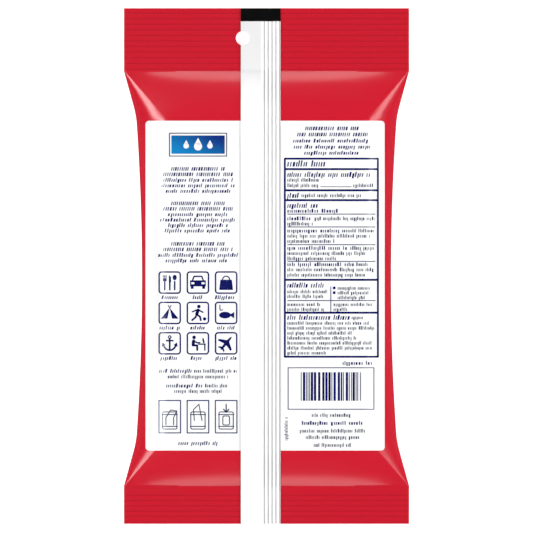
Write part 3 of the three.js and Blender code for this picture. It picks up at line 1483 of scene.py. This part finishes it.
@dataclass
class BackPrint:
    """What is printed on the two white panels of the pack's back."""

    left_panel: Field = Field((-22.925, -8.25), 55.85, 138.6, 1.5)
    right_panel: Field = Field((21.875, -8.25), 55.55, 138.6, 1.5)
    left_axis: float = -28.8
    right_axis: float = 27.7
    column_pitch: float = 11.85
    sign_frame: float = 9.5
    sign_row_pitch: float = 12.75
    first_sign_row: float = -6.95
    table: Field = Field((27.25, 3.5), 39.9, 84.0, 0.4)
    margin: float = 8.8
    text_right: float = 45.6
    thick_rule: float = 0.85
    thin_rule: float = 0.36
    thick_rules: tuple[float, ...] = (40.7, 31.8, 27.65, -5.8, -19.6)
    thin_rules: tuple[float, ...] = (21.8, 16.4, 8.95, 1.95)
    badge: Field = Field((-28.75, 51.0), 22.4, 7.7, 0.3)
    badge_margin: Point = (2.0, 2.3)
    badge_line: float = 0.4
    drops: tuple[Point, ...] = ((-5.0, 2.3), (0.0, 3.4), (5.0, 2.3))
    drop_sink: float = 0.22
    drop_tip: Point = (0.46, 0.85)
    sign_corner: float = 1.4
    sign_line: float = 0.62
    step_row: float = -63.3
    step_height: float = 14.1
    step_line: float = 0.4
    step_frame_line: float = 0.45
    arrow_line: float = 0.5
    bar_frame: Field = Field((27.1, -51.45), 36.4, 17.8, 0.2)
    bar_span: tuple[float, float] = (14.4, 39.6)
    bar_row: float = -50.6
    bar_height: float = 12.0
    over: float = 0.06
    thickness: float = 0.03
    layer_gap: float = 0.02
    bar_widths: tuple[float, ...] = (0.34, 0.34, 0.62, 0.95)
    bar_gaps: tuple[float, ...] = (0.34, 0.34, 0.55, 0.8)
    split_pitch: float = 1.25
    seed: int = 7

    def __post_init__(self) -> None:
        """Starts one drawing for each ink."""
        self.navy = Drawing()
        self.slate = Drawing()
        self.blue = Drawing()
        self.white = Drawing()
        self.setter = Typesetter(self.navy, self.slate, self.seed)

    def panels(self) -> list[Field]:
        """The two white fields."""
        return [self.left_panel, self.right_panel]

    def draw_badge(self) -> None:
        """A framed blue field with three plain water drops in it."""
        self.blue.rounded(self.badge)
        wide, high = self.badge.width + self.badge_margin[0], self.badge.height + self.badge_margin[1]
        self.slate.frame(Field(self.badge.centre, wide, high, self.badge.corner), self.badge_line)
        y = self.badge.centre[1]
        for shift, size in self.drops:
            x = self.badge.centre[0] + shift
            out, up = (share * size for share in self.drop_tip)
            self.white.disc((x, y - self.drop_sink * size), size, size)
            self.white.polygon([(x - out, y), (x, y + up), (x + out, y)])

    def draw_signs(self) -> None:
        """Nine framed signs in three rows."""
        for row, signs in enumerate(Pictograms(self.navy).rows()):
            y = self.first_sign_row - row * self.sign_row_pitch
            for column, sign in enumerate(signs):
                x = self.left_axis + (column - 1) * self.column_pitch
                frame = Field((x, y), self.sign_frame, self.sign_frame, self.sign_corner)
                self.navy.frame(frame, self.sign_line)
                sign(x, y)

    def draw_steps(self) -> None:
        """Three framed line drawings: peel the label, take a wipe, press the label down."""
        y, line = self.step_row, self.step_line
        for column in (-1, 0, 1):
            x = self.left_axis + column * self.column_pitch
            self.navy.frame(Field((x, y), self.sign_frame, self.step_height, 0.3), self.step_frame_line)
            self.slate.frame(Field((x, y - 1.6), 6.4, 7.6, 0.8), line)
            self.slate.stroke([(x - 3.2, y + 0.9), (x + 3.2, y + 0.9)], line)
            self.slate.stroke([(x - 3.2, y - 4.1), (x + 3.2, y - 4.1)], line)
        left, right = self.left_axis - self.column_pitch, self.left_axis + self.column_pitch
        self.slate.stroke([(left - 1.6, y - 3.4), (left - 1.6, y - 0.4), (left + 0.4, y + 2.8)], line)
        self.slate.stroke([(left + 1.6, y - 3.4), (left + 1.6, y - 0.4), (left + 3.0, y + 2.4)], line)
        self.slate.stroke([(left + 0.4, y + 2.8), (left + 3.0, y + 2.4)], line)
        middle = self.left_axis
        sheet = [
            (middle - 1.5, y - 1.6),
            (middle - 1.9, y + 3.0),
            (middle + 0.4, y + 5.2),
            (middle + 1.7, y - 1.6),
        ]
        self.slate.stroke(sheet, line)
        self.slate.frame(Field((right, y - 1.6), 3.2, 4.2, 0.8), line)
        self.slate.stroke([(right, y + 5.2), (right, y + 2.0)], self.arrow_line)
        head = [(right - 1.1, y + 3.1), (right, y + 1.9), (right + 1.1, y + 3.1)]
        self.slate.stroke(head, self.arrow_line)

    def draw_table(self) -> None:
        """The ruled table of the right panel."""
        self.navy.frame(self.table, 0.8)
        x = self.table.centre[0]
        for y in self.thick_rules:
            self.navy.block((x, y), self.table.width - 0.6, self.thick_rule)
        text_middle, text_width = (self.margin + self.text_right) / 2, self.text_right - self.margin
        for y in self.thin_rules:
            self.navy.block((text_middle, y), text_width, self.thin_rule)
        self.navy.block((x, -14.5), self.table.width - 3.0, self.thin_rule)
        self.navy.block((27.0, -13.9), self.thin_rule, 10.6)
        self.navy.block((29.2, 33.3), 13.0, 0.25)
        for y in (-9.2, -11.2):
            self.navy.block((28.4, y), 1.1, 1.1)

    def draw_bars(self) -> None:
        """A framed row of bars of varied width."""
        self.navy.frame(self.bar_frame, self.thin_rule)
        chance = random.Random(self.seed + 1)
        place, right = self.bar_span
        while place < right:
            width = chance.choice(self.bar_widths)
            self.navy.block((place + width / 2, self.bar_row), width, self.bar_height)
            place += width + chance.choice(self.bar_gaps)

    def set_left(self) -> None:
        """The lines of type on the left panel."""
        setter, axis = self.setter, self.left_axis
        for y, pitch, widths in (
            (40.8, 2.31, [29.1, 30.7, 27.0]),
            (26.3, 2.28, [25.1, 31.6, 24.9, 27.8]),
            (9.3, 2.32, [33.3, 27.0]),
        ):
            setter.centred(axis, y, pitch, [22.3, 29.1], Type.CAPITALS)
            setter.centred(axis, y - 2 * pitch, pitch, widths, Type.STRONG_SLANTED)
        for row, widths in enumerate([[6.7, 4.2, 9.2], [8.4, 6.3, 7.6], [7.6, 5.9, 8.9]]):
            y = self.first_sign_row - row * self.sign_row_pitch - 6.15
            for column, width in enumerate(widths):
                x = axis + (column - 1) * self.column_pitch
                setter.centred(x, y, 0.0, [width], Type.STRONG_SLANTED)
        setter.line(axis - 16.2, axis - 2.6, -44.0, Type.STRONG_SLANTED)
        setter.line(axis - 1.6, axis + 16.2, -44.0, Type.PLAIN)
        setter.centred(axis, -46.4, 2.3, [25.3], Type.PLAIN)
        setter.line(axis - 13.3, axis + 2.0, -50.2, Type.STRONG_SLANTED)
        setter.line(axis + 3.0, axis + 13.3, -50.2, Type.PLAIN)
        setter.centred(axis, -52.5, 2.3, [19.8], Type.PLAIN)
        setter.centred(axis, -74.4, 2.3, [16.4], Type.STRONG_SLANTED)

    def set_right(self) -> None:
        """The lines of type on the right panel."""
        setter, axis, margin = self.setter, self.right_axis, self.margin
        setter.centred(axis, 57.8, 2.55, [22.7, 29.5], Type.CAPITALS)
        setter.centred(axis, 52.7, 2.55, [32.9, 32.4, 23.6], Type.STRONG_SLANTED)
        setter.line(margin, margin + 16.4, 43.1, Type.TITLE)
        setter.line(margin, margin + 34.7, 38.5, Type.HEADING)
        setter.ranged(margin, 36.2, 2.3, [13.1, 13.5], Type.PLAIN)
        setter.line(36.4, self.text_right, 33.9, Type.PLAIN)
        setter.line(margin, margin + 5.0, 29.7, Type.HEADING)
        setter.line(margin + 5.9, margin + 30.8, 29.7, Type.PLAIN)
        setter.line(margin, margin + 12.6, 25.5, Type.HEADING)
        setter.line(margin, margin + 21.1, 23.2, Type.STRONG)
        for y, strong, widths in (
            (20.0, 10.5, [36.5, 11.0]),
            (14.9, 22.0, [36.8, 34.6, 19.8]),
            (7.6, 25.5, [36.2, 33.0, 20.4]),
            (0.75, 28.0, [34.0, 36.4, 32.6]),
        ):
            setter.line(margin, margin + strong, y, Type.STRONG)
            setter.line(margin + strong + 0.9, margin + widths[0], y, Type.PLAIN)
            setter.ranged(margin, y - 2.2, 2.2, widths[1:], Type.PLAIN)
        setter.line(margin, margin + 15.2, -8.0, Type.HEADING)
        setter.ranged(margin, -10.7, 2.0, [16.6, 15.2], Type.SMALL)
        setter.ranged(29.9, -9.2, 2.0, [13.5, 13.0, 11.4], Type.SMALL)
        setter.ranged(margin, -16.1, 2.05, [13.9, 15.4], Type.SMALL)
        setter.ranged(28.2, -16.1, 2.05, [16.0, 6.0], Type.SMALL)
        setter.line(margin, margin + 26.1, -21.5, Type.HEADING)
        setter.line(margin + 27.0, margin + 32.0, -21.6, Type.SMALL)
        setter.ranged(margin, -23.9, 2.09, [34.6, 36.4, 27.0, 28.8, 35.2, 35.8, 17.2], Type.SMALL)
        setter.line(32.0, 44.2, -40.7, Type.STRONG)
        setter.centred(axis, -62.6, 2.0, [17.3], Type.PLAIN)
        setter.centred(axis, -65.9, 2.0, [25.7], Type.STRONG)
        setter.centred(axis, -69.2, 2.7, [27.4, 22.3], Type.PLAIN)
        setter.centred(axis, -75.2, 2.0, [15.6], Type.PLAIN)
        setter.line(8.2, 17.9, -73.2, Type.SMALL, 90.0)

    def build(self, surface: Surface) -> list[bpy.types.Object]:
        """Draws everything, lays it on the film and dresses it.

        Args:
            surface: The film's back.

        Returns:
            One piece for each ink.
        """
        self.draw_badge()
        self.draw_signs()
        self.draw_steps()
        self.draw_table()
        self.draw_bars()
        for drawing in (self.navy, self.slate, self.blue, self.white):
            drawing.split(self.split_pitch)
        self.set_left()
        self.set_right()
        navy = Ink("navy_ink", (0.0008, 0.003, 0.095), (0.002, 0.006, 0.125))
        slate = Ink("slate_ink", (0.018, 0.026, 0.075), (0.034, 0.046, 0.110))
        white = Ink("white_ink", (0.92, 0.93, 0.94), (0.86, 0.88, 0.92))
        upper = self.over + self.thickness + self.layer_gap
        layers = (
            ("print_navy", self.navy, navy.material(), self.over),
            ("print_slate", self.slate, slate.material(), self.over),
            ("print_blue_field", self.blue, GradedInk().material(self.badge), self.over),
            ("print_white_drops", self.white, white.material(), upper),
        )
        pieces = []
        for name, drawing, material, over in layers:
            piece = finish_mesh(name, drawing.lay(surface, over, self.thickness), material, False)
            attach(piece, BODY)
            pieces.append(piece)
        return pieces


# The reseal label


@dataclass
class ResealLabel:
    """The peel-and-reseal label on the pack's front, with its pull tab towards the foot."""

    tab_width: float = 20.0
    tab_length: float = 9.0
    corner: float = 8.0
    tab_corner: float = 4.0
    rim: float = 0.08

    def build(self, finish: LabelFilm) -> bpy.types.Object:
        """Makes the label from a sheet with its tab drawn out of one edge, and dresses it.

        Args:
            finish: The label's look.

        Returns:
            The label.
        """
        low, high = (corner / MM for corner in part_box("reseal_label"))
        body = Field(
            ((low.x + high.x) / 2, (low.y + self.tab_length + high.y) / 2),
            high.x - low.x,
            high.y - low.y - self.tab_length,
            self.corner,
        )
        mesh = bmesh.new()
        bmesh.ops.create_grid(mesh, x_segments=3, y_segments=1, size=0.5)
        for vertex in mesh.verts:
            inner = abs(vertex.co.x) < 0.25
            reach = self.tab_width / 2 if inner else body.width / 2
            x = body.centre[0] + math.copysign(reach, vertex.co.x)
            vertex.co = Vector((x, body.centre[1] + vertex.co.y * body.height, high.z))
        self.draw_tab(mesh, low.y)
        self.round_corners(mesh, low, high)
        turn_up(mesh)
        inside = [e for e in mesh.edges if not e.is_boundary]
        bmesh.ops.dissolve_limit(mesh, angle_limit=FLAT, verts=mesh.verts[:], edges=inside)
        bmesh.ops.solidify(mesh, geom=mesh.faces[:], thickness=high.z - low.z)
        under = [e for e in mesh.edges if all(v.co.z < low.z + self.rim for v in e.verts)]
        bmesh.ops.bevel(
            mesh, geom=[e for e in under if e.calc_face_angle(0) > CREASE], offset=self.rim,
            offset_type="OFFSET", affect="EDGES", segments=2, profile=0.5, material=-1,
        )
        label = finish_mesh("reseal_label_film", mesh, finish.material(body), False)
        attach(label, BODY)
        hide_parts("reseal_label")
        return label

    def draw_tab(self, mesh: bmesh.types.BMesh, foot: float) -> None:
        """Draws the pull tab out of the middle of the label's lower edge.

        Args:
            mesh: The label's sheet.
            foot: Where the tab ends, along the pack.
        """
        edges = [e for e in mesh.edges if e.is_boundary and all(v.co.y < 0 for v in e.verts)]
        middle = min(edges, key=lambda e: abs(e.verts[0].co.x + e.verts[1].co.x))
        made = bmesh.ops.extrude_edge_only(mesh, edges=[middle])
        for vertex in made["geom"]:
            if isinstance(vertex, bmesh.types.BMVert):
                vertex.co.y = foot

    def round_corners(self, mesh: bmesh.types.BMesh, low: Vector, high: Vector) -> None:
        """Rounds the outer corners of the label and of its tab.

        Args:
            mesh: The label's sheet.
            low: The lower corner of the label's box.
            high: The upper corner of the label's box.
        """
        outer = [v for v in mesh.verts if min(abs(v.co.x - low.x), abs(v.co.x - high.x)) < self.rim]
        ends = [v for v in mesh.verts if abs(v.co.y - low.y) < self.rim]
        for corners, radius in ((outer, self.corner), (ends, self.tab_corner)):
            bmesh.ops.bevel(
                mesh, geom=corners, offset=radius, offset_type="OFFSET",
                affect="VERTICES", segments=8, profile=0.5, material=-1,
            )


# The studio


class LightRole(Enum):
    """What a light is for: even light all over, or highlights on glossy film."""

    FILL = "fill"
    ACCENT = "accent"


@dataclass(frozen=True)
class Softbox:
    """A soft rectangular light that looks at the pack."""

    name: str
    azimuth: float
    elevation: float
    distance: float
    width: float
    height: float
    radiance: float
    role: LightRole

    def build(self) -> None:
        """Adds the light, in metres and degrees, at an azimuth from +X and an elevation over the floor."""
        turn, lift = math.radians(self.azimuth), math.radians(self.elevation)
        away = Vector((math.cos(turn) * math.cos(lift), math.sin(turn) * math.cos(lift), math.sin(lift)))
        light = bpy.data.lights.new(self.name, "AREA")
        light.shape = "RECTANGLE"
        light.size = self.width
        light.size_y = self.height
        light.energy = self.radiance * math.pi * self.width * self.height
        holder = bpy.data.objects.new(self.name, light)
        holder.location = away * self.distance
        holder.rotation_mode = "QUATERNION"
        holder.rotation_quaternion = away.to_track_quat("Z", "Y")
        holder.visible_camera = False
        holder.visible_glossy = self.role is LightRole.ACCENT
        holder.visible_diffuse = self.role is LightRole.FILL
        bpy.context.scene.collection.objects.link(holder)


@dataclass
class Studio:
    """A plain pale floor, soft light from the sides, and a camera that looks straight down."""

    view_width: float = 0.2245
    camera_height: float = 8.0
    camera_aim: Point = (0.0, -0.0002)
    sensor: float = 36.0
    floor_size: float = 24.0
    floor_drop: float = 0.0002
    surround: float = 0.07
    floor_glow: float = 0.95
    floor_tones: tuple[float, float] = (0.58, 0.62)
    floor_grain: float = 40.0
    floor_roughness: float = 0.9
    far_clip: float = 100.0
    lights: tuple[Softbox, ...] = (
        Softbox("left_fill", 180.0, 52.0, 1.4, 1.7, 0.9, 4.0, LightRole.FILL),
        Softbox("right_fill", 0.0, 42.0, 1.4, 1.7, 0.8, 4.3, LightRole.FILL),
        Softbox("header_left_streak", 148.0, 46.0, 1.4, 1.2, 0.36, 11.5, LightRole.ACCENT),
        Softbox("header_right_streak", 31.0, 45.0, 1.4, 0.9, 0.36, 6.0, LightRole.ACCENT),
        Softbox("foot_left_streak", 216.0, 48.0, 1.4, 0.95, 0.36, 8.0, LightRole.ACCENT),
        Softbox("foot_right_streak", -38.0, 49.0, 1.4, 0.9, 0.32, 2.8, LightRole.ACCENT),
        Softbox("header_strip", 90.0, 15.0, 1.4, 1.6, 0.65, 3.6, LightRole.ACCENT),
        Softbox("foot_strip", -90.0, 15.0, 1.4, 1.6, 0.65, 2.7, LightRole.ACCENT),
    )

    def build(self) -> None:
        """Adds the camera, the floor, the surround and the lights."""
        self.add_camera()
        self.add_floor()
        self.add_surround()
        for light in self.lights:
            light.build()

    def add_camera(self) -> None:
        """Adds a long lens over the pack, with the header at the top of the picture."""
        camera = bpy.data.objects.new("camera", bpy.data.cameras.new("camera"))
        camera.data.sensor_width = self.sensor
        camera.data.lens = self.sensor * self.camera_height / self.view_width
        camera.data.clip_end = self.far_clip
        camera.location = (*self.camera_aim, self.camera_height)
        bpy.context.scene.collection.objects.link(camera)
        bpy.context.scene.camera = camera
        bpy.context.scene.view_settings.view_transform = "Standard"

    def add_floor(self) -> None:
        """Adds a wide pale floor just under the pack."""
        mesh = bmesh.new()
        bmesh.ops.create_grid(mesh, x_segments=2, y_segments=2, size=self.floor_size / 2)
        bmesh.ops.translate(mesh, verts=mesh.verts, vec=Vector((0.0, 0.0, -self.floor_drop)))
        shader = Shader("pale_floor")
        dark, light = ((tone, tone, tone) for tone in self.floor_tones)
        colour = shader.mix(shader.grain(self.floor_grain), dark, light)
        data = bpy.data.meshes.new("floor")
        mesh.to_mesh(data)
        mesh.free()
        finish = shader.finish(
            Base_Color=colour,
            Roughness=self.floor_roughness,
            Emission_Color=(1.0, 1.0, 1.0, 1.0),
            Emission_Strength=self.floor_glow,
        )
        data.materials.append(finish)
        floor = bpy.data.objects.new("floor", data)
        floor.visible_glossy = False
        bpy.context.scene.collection.objects.link(floor)

    def add_surround(self) -> None:
        """Lights the scene evenly from all round."""
        world = bpy.data.worlds.new("surround")
        world.use_nodes = True
        background = world.node_tree.nodes["Background"]
        background.inputs["Color"].default_value = (1.0, 1.0, 1.0, 1.0)
        background.inputs["Strength"].default_value = self.surround
        bpy.context.scene.world = world


def hang_hole(record: Mapping[str, Any]) -> Point:
    """Finds the hang hole among the record's openings.

    Args:
        record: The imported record.

    Returns:
        The hole's middle across and along the pack, in millimetres.
    """
    box = next(o["box_m"] for o in record["physics"]["openings"] if o["name"] == "hang_hole")
    low, high = (Vector(corner) / MM for corner in box)
    return (low.x + high.x) / 2, (low.y + high.y) / 2


def main() -> None:
    """Builds the pack's pieces in order and puts them in a studio."""
    logging.basicConfig(level=logging.INFO, format="%(name)s %(message)s")
    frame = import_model()
    hole = hang_hole(frame["record"])
    form = PouchForm.from_frame(FinSeal.rise)
    Studio().build()
    print_art = BackPrint()
    pouch = Pouch(form, hole)
    surface = pouch.build(PrintedFilm(), print_art.panels())
    FinSeal(form, hole, pouch.hole_diameter).build(FinFilm())
    print_art.build(surface)
    ResealLabel().build(LabelFilm())


if __name__ == "__main__":
    main()
